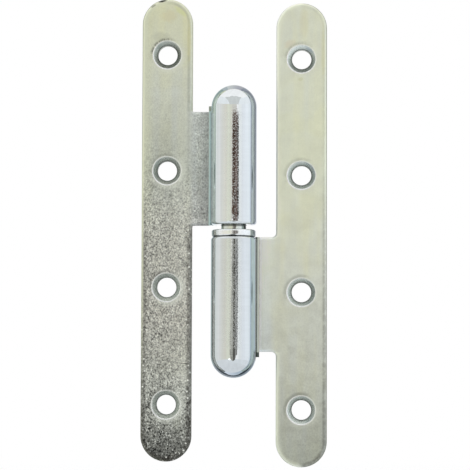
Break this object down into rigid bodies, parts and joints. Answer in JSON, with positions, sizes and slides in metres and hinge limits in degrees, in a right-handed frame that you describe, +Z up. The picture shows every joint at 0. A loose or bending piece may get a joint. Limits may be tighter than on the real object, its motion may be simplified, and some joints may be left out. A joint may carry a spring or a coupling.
{
  "type": "lift off hinge",
  "caption": "Long round-ended lift-off hinge in zinc-plated steel, with domed barrels, a fixed pin, a loose ring and countersunk screw holes.",
  "frame": {"origin": "on the pin's axis, at the middle of the hinge's whole height as it stands in the picture", "axes": "+Z up the pin, the way the upper leaf lifts off; +X towards the leaf that carries the pin; +Y from the countersunk faces to the backs of the leaves"},
  "size_m": [0.056, 0.0138, 0.1414],
  "materials": {
    "male_leaf_zinc": "satin",
    "pin_steel": "satin",
    "ring_zinc": "polished",
    "female_leaf_zinc": "satin"
  },
  "bodies": {
    "frame_leaf": {"male_leaf": "male_leaf_zinc", "hinge_pin": "pin_steel"},
    "ring": {"bearing_ring": "ring_zinc"},
    "door_leaf": {"female_leaf": "female_leaf_zinc"}
  },
  "joints": [
    {"name": "leaf_swing", "type": "hinge", "parent": "frame_leaf", "child": "ring", "pos_m": [0, 0, -0.00072], "axis": [0, 0, 1], "range_deg": [-140, 180]},
    {"name": "lift_off", "type": "slide", "parent": "ring", "child": "door_leaf", "axis": [0, 0, 1], "range_m": [-0.00145, 0.03]}
  ]
}
